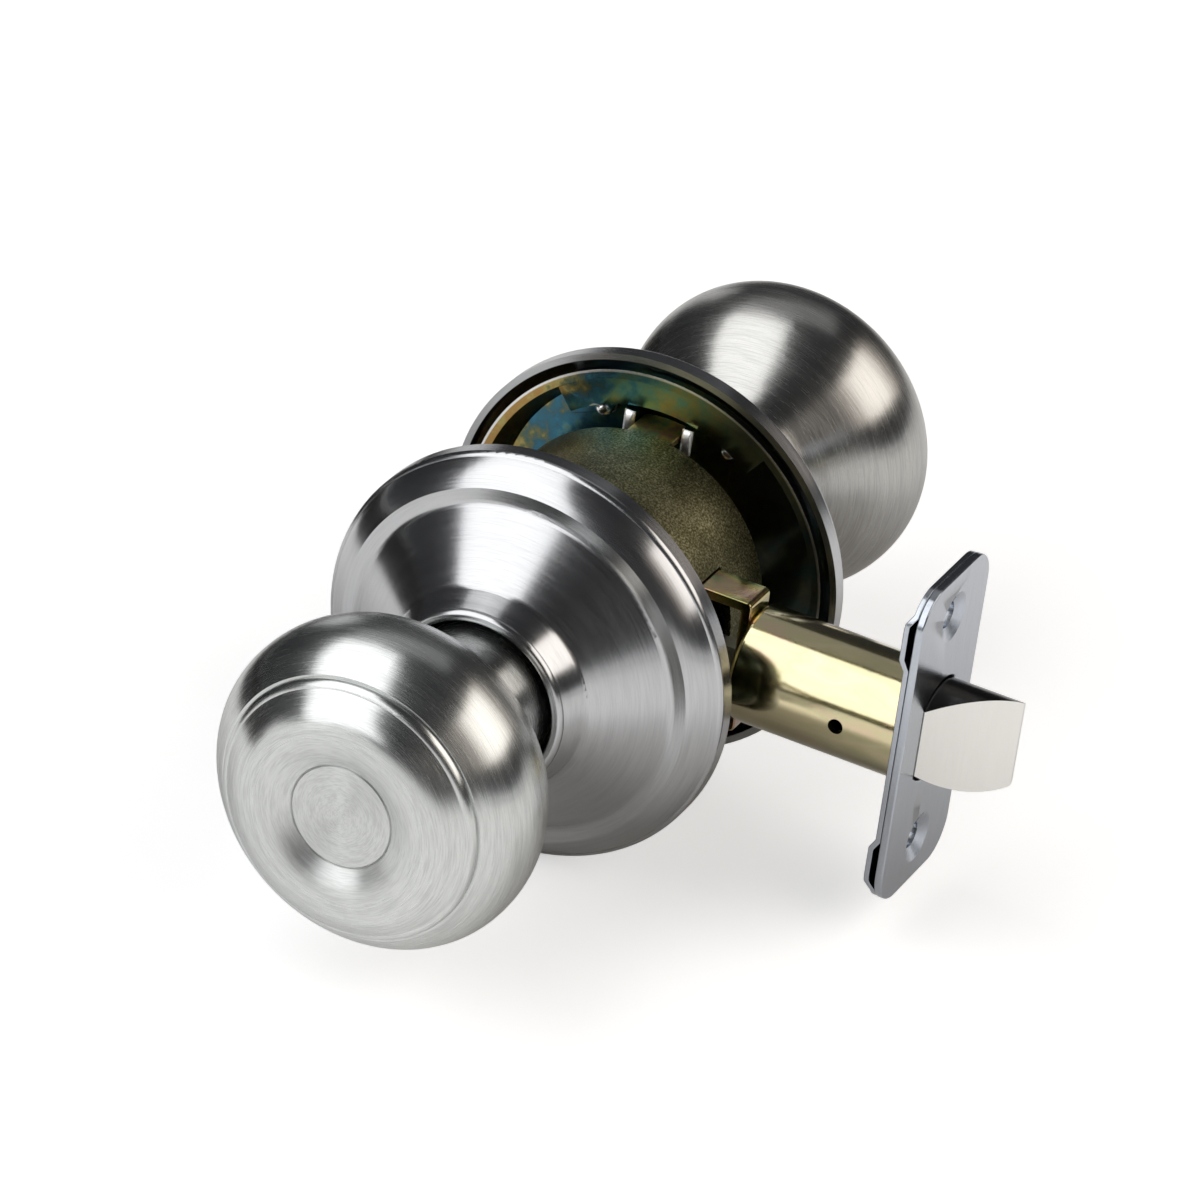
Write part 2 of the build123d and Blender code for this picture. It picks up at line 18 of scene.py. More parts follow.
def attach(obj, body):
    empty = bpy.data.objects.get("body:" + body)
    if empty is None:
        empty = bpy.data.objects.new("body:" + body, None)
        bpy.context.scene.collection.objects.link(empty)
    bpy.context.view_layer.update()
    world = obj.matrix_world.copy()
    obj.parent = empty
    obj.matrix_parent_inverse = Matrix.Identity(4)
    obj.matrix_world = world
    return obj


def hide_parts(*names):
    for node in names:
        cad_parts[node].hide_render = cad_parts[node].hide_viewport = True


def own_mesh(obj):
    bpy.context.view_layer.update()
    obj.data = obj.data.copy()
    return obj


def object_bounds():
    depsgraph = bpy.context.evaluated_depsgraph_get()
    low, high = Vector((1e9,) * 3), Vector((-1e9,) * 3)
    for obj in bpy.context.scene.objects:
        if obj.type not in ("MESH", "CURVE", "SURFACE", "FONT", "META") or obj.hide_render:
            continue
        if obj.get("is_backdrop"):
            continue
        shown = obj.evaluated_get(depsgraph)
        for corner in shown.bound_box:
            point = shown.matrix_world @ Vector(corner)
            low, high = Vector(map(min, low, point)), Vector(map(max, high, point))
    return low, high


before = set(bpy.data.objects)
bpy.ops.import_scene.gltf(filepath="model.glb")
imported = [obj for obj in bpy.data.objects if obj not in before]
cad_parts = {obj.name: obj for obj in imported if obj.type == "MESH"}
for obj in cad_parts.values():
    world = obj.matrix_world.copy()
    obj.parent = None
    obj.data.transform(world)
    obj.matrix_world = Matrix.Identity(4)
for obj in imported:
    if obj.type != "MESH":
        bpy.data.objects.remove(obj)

LOG = logging.getLogger("lockset")
MM = 0.001
IMAGE_SIDE = 1200
LEAST_RADIUS = 0.01

Pair = tuple[float, float]
Triple = tuple[float, float, float]
Colour = Triple
Stops = tuple[tuple[float, Colour], ...]
Socket = bpy.types.NodeSocket


class Side(Enum):
    """Face of the door that a piece is on."""

    OUTSIDE = "outside"
    INSIDE = "inside"

    def node(self, name: str) -> str:
        """Name of this side's solid."""
        return f"{self.value}_{name}"


class Slot(Enum):
    """Material slots that the frame knows."""

    NICKEL = "satin_nickel"
    BRIGHT = "bright_zinc"
    YELLOW = "yellow_zinc"
    STEEL = "plain_steel"


class Graph:
    """Shader nodes of one material or world, added by short calls that return sockets."""

    def __init__(self, tree: bpy.types.NodeTree) -> None:
        """Start from an empty tree."""
        self.tree = tree
        self.tree.nodes.clear()

    def add(self, kind: str, **inputs: object) -> bpy.types.Node:
        """Add a node and feed its inputs.

        Args:
            kind: Blender's node type.
            inputs: input names, with _ for a space, and their sockets or values.

        Returns:
            The new node.
        """
        node = self.tree.nodes.new(kind)
        for name, value in inputs.items():
            self.feed(node.inputs[name.replace("_", " ")], value)
        return node

    def feed(self, socket: Socket, value: object) -> None:
        """Link a socket to another one, or set its constant value.

        Args:
            socket: the input.
            value: a socket, a constant, or None to leave the input as it is.
        """
        if isinstance(value, Socket):
            self.tree.links.new(value, socket)
        elif value is not None:
            socket.default_value = value

    def math(self, operation: str, *values: object) -> Socket:
        """One Math node on up to three values."""
        return self.operate("ShaderNodeMath", operation, values)

    def vector(self, operation: str, *values: object) -> Socket:
        """One Vector Math node on up to three vectors."""
        return self.operate("ShaderNodeVectorMath", operation, values)

    def operate(self, kind: str, operation: str, values: tuple[object, ...]) -> Socket:
        """Add a node that has an operation.

        Args:
            kind: Blender's node type.
            operation: the operation's name.
            values: sockets or constants for the first inputs.

        Returns:
            The first output.
        """
        node = self.tree.nodes.new(kind)
        node.operation = operation
        for socket, value in zip(node.inputs, values):
            self.feed(socket, value)
        return node.outputs[0]

    def distance(self, vector: object) -> Socket:
        """Length of a vector.

        Args:
            vector: a socket or three numbers.

        Returns:
            The length.
        """
        node = self.add("ShaderNodeVectorMath")
        node.operation = "LENGTH"
        self.feed(node.inputs[0], vector)
        return node.outputs["Value"]

    def smooth(self, value: object, low: float, high: float) -> Socket:
        """Smooth step of a value.

        Args:
            value: the value.
            low: where the step is 0.
            high: where the step is 1, below low for a falling step.

        Returns:
            The step.
        """
        node = self.add("ShaderNodeMapRange", Value=value, From_Min=low, From_Max=high)
        node.interpolation_type = "SMOOTHSTEP"
        return node.outputs[0]

    def span(self, value: object, low: float, high: float) -> Socket:
        """Stretch a value from 0..1 to low..high."""
        return self.add("ShaderNodeMapRange", Value=value, To_Min=low, To_Max=high).outputs[0]

    def blend(self, first: object, second: object, share: float) -> Socket:
        """Weighted sum of two values.

        Args:
            first: the value that the share counts.
            second: the value that has the rest.
            share: weight of the first, 0..1.

        Returns:
            The sum.
        """
        return self.math("ADD", self.math("MULTIPLY", first, share), self.math("MULTIPLY", second, 1 - share))

    def combine(self, x: object, y: object, z: object) -> Socket:
        """Vector of three values."""
        return self.add("ShaderNodeCombineXYZ", X=x, Y=y, Z=z).outputs[0]

    def noise(self, where: object, scale: float, detail: float = 2.0, w: object = None) -> Socket:
        """Noise at a place.

        Args:
            where: coordinates.
            scale: features per unit.
            detail: octaves.
            w: a fourth coordinate, where one is needed.

        Returns:
            Noise of 0..1.
        """
        node = self.tree.nodes.new("ShaderNodeTexNoise")
        if w is not None:
            node.noise_dimensions = "4D"
            self.feed(node.inputs["W"], w)
        self.feed(node.inputs["Vector"], where)
        self.feed(node.inputs["Scale"], scale)
        self.feed(node.inputs["Detail"], detail)
        return node.outputs[0]

    def stretched(self, place: object, scales: Triple, detail: float = 2.0) -> Socket:
        """Noise drawn out along the axes.

        Args:
            place: coordinates in millimetres.
            scales: features per millimetre along X, Y and Z.
            detail: octaves.

        Returns:
            Noise of 0..1.
        """
        mapping = self.add("ShaderNodeMapping", Vector=place, Scale=scales)
        return self.noise(mapping.outputs[0], 1.0, detail)

    def ramp(self, value: object, stops: Stops) -> Socket:
        """Colours along a value.

        Args:
            value: the value.
            stops: places of 0..1 and their colours.

        Returns:
            The colour.
        """
        node = self.add("ShaderNodeValToRGB", Fac=value)
        elements = node.color_ramp.elements
        for _ in range(len(stops) - len(elements)):
            elements.new(0.5)
        for element, (place, colour) in zip(elements, stops):
            element.position = place
            element.color = (*colour, 1.0)
        return node.outputs[0]

    def mix(self, share: object, first: object, second: object) -> Socket:
        """Blend of two colours.

        Args:
            share: how much of the second, 0..1.
            first: a socket or a colour.
            second: a socket or a colour.

        Returns:
            The colour.
        """
        node = self.tree.nodes.new("ShaderNodeMix")
        node.data_type = "RGBA"
        for name, value in (("Factor_Float", share), ("A_Color", first), ("B_Color", second)):
            socket = next(s for s in node.inputs if s.identifier == name)
            plain = isinstance(value, tuple) and len(value) == 3
            self.feed(socket, (*value, 1.0) if plain else value)
        return next(s for s in node.outputs if s.identifier == "Result_Color")

    def bump(self, height: object, depth: float) -> Socket:
        """Normal pressed by a height of 0..1 times a depth in metres."""
        return self.add("ShaderNodeBump", Height=height, Distance=depth, Strength=1.0).outputs[0]

    def millimetres(self) -> Socket:
        """Object coordinates in millimetres."""
        place = self.add("ShaderNodeTexCoord").outputs["Object"]
        return self.vector("MULTIPLY", place, (1 / MM, 1 / MM, 1 / MM))

    def turned(self, place: object) -> dict[str, Socket]:
        """Cylinder coordinates of a place about the spindle axis.

        Args:
            place: coordinates in millimetres.

        Returns:
            Sockets named radius, along, cosine and sine.
        """
        parts = self.add("ShaderNodeSeparateXYZ", Vector=place).outputs
        x, z = parts["X"], parts["Z"]
        squares = self.math("ADD", self.math("MULTIPLY", x, x), self.math("MULTIPLY", z, z))
        radius = self.math("MAXIMUM", self.math("SQRT", squares), LEAST_RADIUS)
        cosine, sine = self.math("DIVIDE", x, radius), self.math("DIVIDE", z, radius)
        return {"radius": radius, "along": parts["Y"], "cosine": cosine, "sine": sine}

    def lines(self, around: dict[str, Socket], width: float, wander: float) -> Socket:
        """Turning marks: noise stretched around the axis, with no seam.

        Args:
            around: sockets of Graph.turned.
            width: about the width of one mark in millimetres.
            wander: how much a mark changes along its circle.

        Returns:
            Noise of 0..1.
        """
        across = [self.math("DIVIDE", around[name], width) for name in ("radius", "along")]
        cosine, sine = (self.math("MULTIPLY", around[name], wander) for name in ("cosine", "sine"))
        return self.noise(self.combine(*across, cosine), 1.0, 3.0, sine)

    def across_marks(self, around: dict[str, Socket]) -> Socket:
        """Direction in the surface across the turning marks: normal x marks.

        Args:
            around: sockets of Graph.turned.

        Returns:
            The direction in world space.
        """
        back = self.math("MULTIPLY", around["sine"], -1.0)
        turn = self.add("ShaderNodeVectorTransform", Vector=self.combine(back, 0.0, around["cosine"]))
        turn.vector_type = "VECTOR"
        turn.convert_from, turn.convert_to = "OBJECT", "WORLD"
        normal = self.add("ShaderNodeNewGeometry").outputs["Normal"]
        return self.vector("CROSS_PRODUCT", normal, turn.outputs[0])

    def close(self, shader: bpy.types.Node, kind: str = "ShaderNodeOutputMaterial") -> None:
        """Lead the last shader to the tree's output."""
        self.tree.links.new(shader.outputs[0], self.tree.nodes.new(kind).inputs[0])

    def surface(self, **inputs: object) -> None:
        """Finish a material with a metal Principled shader."""
        self.close(self.add("ShaderNodeBsdfPrincipled", Metallic=1.0, **inputs))


@dataclass(frozen=True)
class Finish:
    """A surface finish whose material is built the first time it is worn.

    A noise is given by its features per millimetre and its octaves, a step by where it is 0 and 1.
    """

    name: str

    def material(self) -> bpy.types.Material:
        """The finish's material.

        Returns:
            The material, made on the first call.
        """
        found = bpy.data.materials.get(self.name)
        if found is None:
            found = bpy.data.materials.new(self.name)
            found.use_nodes = True
            self.paint(Graph(found.node_tree))
        return found

    def paint(self, graph: Graph) -> None:
        """Lay the finish's shader nodes."""
        raise NotImplementedError

    def wear(self, *nodes: str) -> list[str]:
        """Put the finish on solids of the frame.

        Args:
            nodes: the solids' names.

        Returns:
            The same names.
        """
        for node in nodes:
            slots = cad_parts[node].data.materials
            slots.clear()
            slots.append(self.material())
        return list(nodes)


@dataclass(frozen=True)
class SatinNickel(Finish):
    """Satin nickel plate with brush marks turned around the spindle.

    With an inside wall, that drawn wall carries a painted dark reflection; the middle of a knob's face is
    duller than the rest.
    """

    tint: Colour = (0.585, 0.60, 0.59)
    roughness: float = 0.26
    swing: Pair = (-0.08, 0.08)
    anisotropy: float = 0.72
    fine_width: float = 0.15
    fine_wander: float = 5.0
    fine_share: float = 0.65
    coarse_width: float = 0.9
    coarse_wander: float = 2.0
    mark_depth: float = 8.0e-6
    mark_edges: Pair = (0.36, 0.6)
    contrast: float = 0.2
    # Painted dark reflection on a drawn inside wall: its radius, edges, depth and tint.
    inside_wall: float = 0.0
    inside_edge: Pair = (0.1, 0.03)
    inside_depth: Pair = (22.0, 21.6)
    inside_tint: Colour = (0.085, 0.082, 0.075)
    face_along: Pair = (76.0, 77.0)
    face_radius: Pair = (15.0, 11.0)
    face_dullness: float = 0.13

    def paint(self, graph: Graph) -> None:
        """Lay fine and coarse ring marks in the tint, the gloss and the surface.

        Args:
            graph: the material's nodes.
        """
        around = graph.turned(graph.millimetres())
        away = graph.math("ABSOLUTE", around["along"])
        fine = graph.lines(around, self.fine_width, self.fine_wander)
        coarse = graph.lines(around, self.coarse_width, self.coarse_wander)
        marks = graph.blend(fine, coarse, self.fine_share)
        darker = tuple((1 - self.contrast) * c for c in self.tint)
        colour = graph.mix(graph.smooth(marks, *self.mark_edges), darker, self.tint)
        # Painted dark reflection on the drawn inside wall of a rose's rim.
        if self.inside_wall:
            painted_wall_mask = graph.smooth(around["radius"], *(self.inside_wall + edge for edge in self.inside_edge))
            low = graph.smooth(away, *self.inside_depth)
            colour = graph.mix(graph.math("MULTIPLY", painted_wall_mask, low), colour, self.inside_tint)
        middle = graph.smooth(around["radius"], *self.face_radius)
        face = graph.math("MULTIPLY", graph.smooth(away, *self.face_along), middle)
        gloss = graph.span(marks, *(self.roughness + s for s in self.swing))
        graph.surface(
            Base_Color=colour,
            Roughness=graph.math("ADD", gloss, graph.math("MULTIPLY", face, self.face_dullness)),
            Anisotropic=self.anisotropy,
            Tangent=graph.across_marks(around),
            Normal=graph.bump(marks, self.mark_depth),
        )


@dataclass(frozen=True)
class FilmZinc(Finish):
    """Zinc plate under a chromate film whose colours change across the piece, bare at cut edges, with painted
    shade over its right side.
    """

    stops: Stops
    studs: bool = True
    roughness: float = 0.24
    swing: Pair = (-0.05, 0.05)
    reach: float = 84.0
    clouds: Pair = (0.3, 6.0)
    drift: float = 0.36
    specks: Pair = (1.6, 3.0)
    speckle: float = 0.08
    wall_radius: Pair = (28.5, 30.0)
    wall_side: Pair = (-8.0, -16.0)
    wall_shift: float = 0.18
    # Painted shade over the plate's right side: its colour, where it starts and ends, and how much of it.
    dim: Colour = (0.18, 0.252, 0.24)
    dim_side: Pair = (4.0, 16.0)
    dim_share: float = 0.65
    bare: Colour = (0.86, 0.86, 0.85)
    cut_end: Pair = (19.13, 19.07)
    rim_radius: Pair = (32.1, 32.3)
    rim_end: Pair = (19.5, 19.4)
    stud_place: Pair = (11.6, 22.0)
    stud_radius: Pair = (1.8, 1.6)
    grain: float = 6.0e-6

    def paint(self, graph: Graph) -> None:
        """Lay film colours from the place and a drifting noise, painted shade on the right side, and pale
        metal at the cuts.

        Args:
            graph: the material's nodes.
        """
        place = graph.millimetres()
        around = graph.turned(place)
        parts = graph.add("ShaderNodeSeparateXYZ", Vector=place).outputs
        x, z = parts["X"], parts["Z"]
        clouds = graph.noise(place, *self.clouds)
        fine = graph.noise(place, *self.specks)
        film = graph.math("ADD", graph.math("DIVIDE", x, self.reach), 0.5)
        film = graph.math("ADD", film, graph.span(clouds, -self.drift, self.drift))
        film = graph.math("ADD", film, graph.span(fine, -self.speckle, self.speckle))
        wall = graph.smooth(around["radius"], *self.wall_radius)
        wall = graph.math("MULTIPLY", wall, graph.smooth(x, *self.wall_side))
        film = graph.math("SUBTRACT", film, graph.math("MULTIPLY", wall, self.wall_shift))
        colour = graph.ramp(film, self.stops)
        # Painted shade: the film is dimmed toward a dark colour over the plate's right side.
        painted_shade_colour = graph.mix(self.dim_share, colour, self.dim)
        colour = graph.mix(graph.smooth(x, *self.dim_side), colour, painted_shade_colour)
        away = graph.math("ABSOLUTE", around["along"])
        rim = graph.smooth(around["radius"], *self.rim_radius)
        rim = graph.math("MULTIPLY", rim, graph.smooth(away, *self.rim_end))
        cut = graph.math("MAXIMUM", graph.smooth(away, *self.cut_end), rim)
        if self.studs:
            aside = graph.math("SUBTRACT", graph.math("ABSOLUTE", x), self.stud_place[0])
            off = graph.combine(aside, 0.0, graph.math("SUBTRACT", z, self.stud_place[1]))
            stud = graph.smooth(graph.distance(off), *self.stud_radius)
            cut = graph.math("MAXIMUM", cut, stud)
        graph.surface(
            Base_Color=graph.mix(cut, colour, self.bare),
            Roughness=graph.span(fine, *(self.roughness + s for s in self.swing)),
            Normal=graph.bump(fine, self.grain),
        )


@dataclass(frozen=True)
class YellowZinc(Finish):
    """Glossy yellow chromate on zinc: colours drift in streaks along the latch."""

    stops: Stops
    roughness: float = 0.16
    swing: Pair = (-0.04, 0.05)
    gloss: float = 2.3
    coat_roughness: float = 0.1
    streaks: Triple = (0.05, 0.2, 0.2)
    specks: Pair = (1.3, 3.0)
    speckle: float = 0.03
    ripples: Pair = (0.25, 2.0)
    ripple_depth: float = 4.0e-5

    def paint(self, graph: Graph) -> None:
        """Lay streaked film colours under an even gloss.

        Args:
            graph: the material's nodes.
        """
        place = graph.millimetres()
        fine = graph.noise(place, *self.specks)
        film = graph.stretched(place, self.streaks, 2.0)
        film = graph.math("ADD", film, graph.span(fine, -self.speckle, self.speckle))
        graph.surface(
            Base_Color=graph.ramp(film, self.stops),
            Roughness=graph.span(fine, *(self.roughness + s for s in self.swing)),
            Coat_Weight=1.0,
            Coat_IOR=self.gloss,
            Coat_Roughness=self.coat_roughness,
            Normal=graph.bump(graph.noise(place, *self.ripples), self.ripple_depth),
        )


@dataclass(frozen=True)
class OliveZinc(Finish):
    """Dull olive chromate with a fine grain, brighter and many-coloured on the locating tongue."""

    stops: Stops
    tongue: Stops
    tongue_along: Pair = (15.1, 17.1)
    roughness: float = 0.38
    swing: Pair = (-0.07, 0.07)
    specks: Pair = (3.2, 3.0)
    speck_share: float = 0.75
    clouds: Pair = (0.12, 3.0)
    sheen: Pair = (0.35, 5.0)
    grain: float = 3.0e-5

    def paint(self, graph: Graph) -> None:
        """Lay grainy olive with slow clouds, and the tongue's sheen.

        Args:
            graph: the material's nodes.
        """
        place = graph.millimetres()
        fine = graph.noise(place, *self.specks)
        film = graph.blend(fine, graph.noise(place, *self.clouds), self.speck_share)
        along = graph.add("ShaderNodeSeparateXYZ", Vector=place).outputs["Y"]
        sheen = graph.ramp(graph.noise(place, *self.sheen), self.tongue)
        on_tongue = graph.smooth(along, *self.tongue_along)
        graph.surface(
            Base_Color=graph.mix(on_tongue, graph.ramp(film, self.stops), sheen),
            Roughness=graph.span(fine, *(self.roughness + s for s in self.swing)),
            Normal=graph.bump(fine, self.grain),
        )


@dataclass(frozen=True)
class BrightMetal(Finish):
    """Bright plate or bare steel: even tint, faint rolling lines along Z and a soft grain.

    A flank under 1 paints a dark reflection on faces that look up or down.
    """

    tint: Colour = (0.58, 0.62, 0.68)
    roughness: float = 0.2
    swing: Pair = (-0.04, 0.05)
    rolling: Triple = (1.5, 2.5, 0.12)
    rolling_share: float = 0.5
    specks: Pair = (2.2, 3.0)
    grain: float = 5.0e-6
    contrast: float = 0.1
    contrast_edges: Pair = (0.35, 0.65)
    # Painted dark reflection on faces that look up or down, and the slopes where it starts and ends.
    flank: float = 1.0
    flank_slope: Pair = (0.25, 0.55)

    def paint(self, graph: Graph) -> None:
        """Lay rolling lines and grain in the tint and the gloss, with any painted dark flanks.

        Args:
            graph: the material's nodes.
        """
        place = graph.millimetres()
        fine = graph.noise(place, *self.specks)
        share = graph.blend(graph.stretched(place, self.rolling, 3.0), fine, self.rolling_share)
        darker = tuple((1 - self.contrast) * c for c in self.tint)
        colour = graph.mix(graph.smooth(share, *self.contrast_edges), darker, self.tint)
        # Painted dark reflection: faces that look up or down are darkened.
        if self.flank < 1:
            normal = graph.add("ShaderNodeNewGeometry").outputs["Normal"]
            steep = graph.math("ABSOLUTE", graph.add("ShaderNodeSeparateXYZ", Vector=normal).outputs["Z"])
            dark = tuple(self.flank * c for c in self.tint)
            colour = graph.mix(graph.smooth(steep, *self.flank_slope), colour, dark)
        graph.surface(
            Base_Color=colour,
            Roughness=graph.span(fine, *(self.roughness + s for s in self.swing)),
            Normal=graph.bump(fine, self.grain),
        )


@dataclass(frozen=True)
class Paper(Finish):
    """White paper: lit by the lamps and raised to white for the camera; for metal its glow has a painted
    shadow near the part and painted light ahead of it.
    """

    white: float = 0.8
    seen_glow: float = 0.55
    mirrored_glow: float = 0.42
    # Painted shadow and painted light in reflections: the patch around the part where the glow fades, and the
    # rise ahead of it.
    shaded: Pair = (70.0, 100.0)
    clear: Pair = (0.7, 2.2)
    ahead: Pair = (-50.0, -95.0)
    ahead_gain: float = 1.15

    def paint(self, graph: Graph) -> None:
        """Lay a diffuse white and the glow that the camera and the metal see, with its painted shadow and
        painted light.

        Args:
            graph: the material's nodes.
        """
        path = graph.add("ShaderNodeLightPath").outputs
        place = graph.millimetres()
        # Painted shadow: the glow that metal sees fades out near the part; painted light raises it ahead of
        # the part.
        reach = graph.vector("MULTIPLY", place, (1 / self.shaded[0], 1 / self.shaded[1], 0))
        along = graph.add("ShaderNodeSeparateXYZ", Vector=place).outputs["Y"]
        ahead = graph.math("MULTIPLY", graph.smooth(along, *self.ahead), self.ahead_gain)
        clear = graph.math("MAXIMUM", graph.smooth(graph.distance(reach), *self.clear), ahead)
        mirrored = graph.math("MAXIMUM", path["Is Glossy Ray"], path["Is Transmission Ray"])
        mirrored = graph.math("MULTIPLY", graph.math("MULTIPLY", mirrored, clear), self.mirrored_glow)
        seen = graph.math("MULTIPLY", path["Is Camera Ray"], self.seen_glow)
        glow = graph.add("ShaderNodeEmission", Color=(1, 1, 1, 1), Strength=graph.math("ADD", mirrored, seen))
        diffuse = graph.add("ShaderNodeBsdfDiffuse", Color=(self.white, self.white, self.white, 1))
        both = graph.add("ShaderNodeAddShader")
        graph.tree.links.new(glow.outputs[0], both.inputs[0])
        graph.tree.links.new(diffuse.outputs[0], both.inputs[1])
        graph.close(both)


@dataclass(frozen=True)
class Card(Finish):
    """Dull card of one grey."""

    grey: float = 0.03

    def paint(self, graph: Graph) -> None:
        """Lay the plain grey."""
        graph.close(graph.add("ShaderNodeBsdfDiffuse", Color=(self.grey, self.grey, self.grey, 1)))


OLIVE: Stops = (
    (0.38, (0.075, 0.070, 0.034)),
    (0.47, (0.16, 0.15, 0.075)),
    (0.54, (0.23, 0.215, 0.12)),
    (0.62, (0.46, 0.43, 0.27)),
)
TONGUE: Stops = (
    (0.32, (0.16, 0.24, 0.13)),
    (0.42, (0.34, 0.31, 0.10)),
    (0.50, (0.46, 0.33, 0.12)),
    (0.58, (0.40, 0.22, 0.16)),
    (0.68, (0.22, 0.27, 0.14)),
)
GOLD: Stops = (
    (0.32, (0.40, 0.37, 0.15)),
    (0.42, (0.50, 0.43, 0.18)),
    (0.50, (0.58, 0.49, 0.24)),
    (0.57, (0.50, 0.45, 0.19)),
    (0.68, (0.56, 0.41, 0.22)),
)
# Chromate film colours, kept darker as painted shade for the plates inside the roses.
FILM_AND_PAINTED_SHADE: Stops = (
    (0.00, (0.42, 0.26, 0.09)),
    (0.08, (0.46, 0.38, 0.14)),
    (0.17, (0.17, 0.19, 0.10)),
    (0.25, (0.07, 0.16, 0.20)),
    (0.33, (0.06, 0.20, 0.29)),
    (0.41, (0.12, 0.28, 0.28)),
    (0.48, (0.15, 0.27, 0.20)),
    (0.58, (0.24, 0.27, 0.13)),
    (0.68, (0.32, 0.25, 0.09)),
    (0.78, (0.24, 0.11, 0.07)),
    (0.90, (0.07, 0.17, 0.18)),
)

KNOB_NICKEL = SatinNickel("knob_nickel")
# Inside knob: the same nickel, darker and warmer as painted shade and a painted warm reflection.
REAR_NICKEL_PAINTED_SHADE = SatinNickel("rear_nickel", tint=(0.468, 0.465, 0.448))
# The rose's drawn inside rim wall carries a painted dark reflection.
ROSE_NICKEL = SatinNickel(
    "rose_nickel", tint=(0.49, 0.495, 0.505), roughness=0.22, anisotropy=0.6, mark_depth=3.0e-6,
    contrast=0.12, inside_wall=34.3,
)
# The bolt's upper and lower faces carry a painted dark reflection.
BOLT_NICKEL = BrightMetal("bolt_nickel", tint=(0.78, 0.77, 0.74), roughness=0.22, contrast=0.03, flank=0.1)
PLATE_ZINC = BrightMetal("faceplate_zinc", tint=(0.47, 0.50, 0.55))
INNER_STEEL = BrightMetal("inner_steel", tint=(0.50, 0.49, 0.47), roughness=0.32)
BARE_STEEL = BrightMetal("bare_steel", tint=(0.9, 0.9, 0.89), roughness=0.4)
DRUM_ZINC = OliveZinc("drum_zinc", OLIVE, TONGUE)
TUBE_ZINC = YellowZinc("tube_zinc", GOLD)
STRAP_ZINC = YellowZinc("strap_zinc", TONGUE, gloss=1.5)
FILM_ZINC = FilmZinc("film_zinc", FILM_AND_PAINTED_SHADE)
LINER_ZINC = FilmZinc("liner_zinc", FILM_AND_PAINTED_SHADE, studs=False)
WHITE_PAPER = Paper("white_paper")
BLACK_CARD = Card("black_card")


def grid_mesh(name: str, points: np.ndarray, around: bool = False, capped: bool = False) -> bpy.types.Mesh:
    """Mesh over a grid of points, with a square between each four neighbours.

    Args:
        name: the mesh's name.
        points: array of rows x columns x 3 in millimetres.
        around: whether the last column joins the first.
        capped: whether the first and last rows are closed by a face each.

    Returns:
        The mesh, smooth shaded.
    """
    rows, columns = points.shape[:2]
    index = np.arange(rows * columns).reshape(rows, columns)
    beside = np.roll(index, -1, axis=1)
    used = slice(None) if around else slice(0, -1)
    corners_in_order = (index[:-1, used], index[1:, used], beside[1:, used], beside[:-1, used])
    faces = np.stack(corners_in_order, -1).reshape(-1, 4).tolist()
    if capped:
        faces += [index[0].tolist(), index[-1].tolist()]
    mesh = bpy.data.meshes.new(name)
    mesh.from_pydata((points.reshape(-1, 3) * MM).tolist(), [], faces)
    if capped:
        shape = bmesh.new()
        shape.from_mesh(mesh)
        bmesh.ops.recalc_face_normals(shape, faces=shape.faces)
        shape.to_mesh(mesh)
        shape.free()
    mesh.polygons.foreach_set("use_smooth", np.ones(len(faces), dtype=bool))
    mesh.update()
    return mesh


def place_object(name: str, data: bpy.types.ID) -> bpy.types.Object:
    """Put a mesh, lamp or camera into the scene.

    Args:
        name: the object's name.
        data: the mesh, lamp or camera.

    Returns:
        The object, at the origin.
    """
    piece = bpy.data.objects.new(name, data)
    bpy.context.scene.collection.objects.link(piece)
    return piece


@dataclass(frozen=True)
class RoundedEdges:
    """Narrow rounding that pressed, sheared and cast pieces have along their edges."""

    width: float
    segments: int = 2
    sharpest: float = 35.0
    crease: float = 30.0
    merge: float = 0.002
    flatness: float = 0.5
    holes: tuple[Triple, ...] = ()
    hole_reach: float = 5.5

    def copy(self, node: str, body: str, slot: Slot, finish: Finish) -> str:
        """Stand a rounded copy in a solid's place.

        Args:
            node: the solid.
            body: the moving body that carries it.
            slot: its material slot; not used.
            finish: what it wears.

        Returns:
            The copy's name.
        """
        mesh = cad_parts[node].data.copy()
        shape = bmesh.new()
        shape.from_mesh(mesh)
        bmesh.ops.remove_doubles(shape, verts=shape.verts, dist=self.merge * MM)
        flat = math.radians(self.flatness)
        bmesh.ops.dissolve_limit(shape, angle_limit=flat, verts=shape.verts, edges=shape.edges)
        angles = np.array([edge.calc_face_angle(0.0) for edge in shape.edges])
        shape.to_mesh(mesh)
        shape.free()
        mesh.polygons.foreach_set("use_smooth", np.ones(len(mesh.polygons), dtype=bool))
        mesh.set_sharp_from_angle(angle=math.radians(self.crease))
        self.weigh(mesh, angles)
        mesh.materials.clear()
        mesh.materials.append(finish.material())
        piece = place_object(f"{node}_rounded", mesh)
        bevel = piece.modifiers.new("edges", "BEVEL")
        bevel.width = self.width * MM
        bevel.segments = self.segments
        bevel.limit_method = "WEIGHT"
        bevel.harden_normals = True
        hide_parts(node)
        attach(piece, body)
        return piece.name

    def weigh(self, mesh: bpy.types.Mesh, angles: np.ndarray) -> None:
        """Mark the sharp edges for rounding, except those around holes.

        Args:
            mesh: the merged copy.
            angles: angle between the two faces of each edge.
        """
        ends = np.empty(2 * len(mesh.edges), dtype=np.int32)
        mesh.edges.foreach_get("vertices", ends)
        points = np.empty(3 * len(mesh.vertices), dtype=np.float32)
        mesh.vertices.foreach_get("co", points)
        middle = points.reshape(-1, 3)[ends.reshape(-1, 2)].mean(axis=1) / MM
        sharp = angles > math.radians(self.sharpest)
        for hole in self.holes:
            sharp &= np.linalg.norm(middle - np.array(hole), axis=1) > self.hole_reach
        weights = mesh.attributes.new("bevel_weight_edge", "FLOAT", "EDGE")
        weights.data.foreach_set("value", sharp.astype(np.float32))


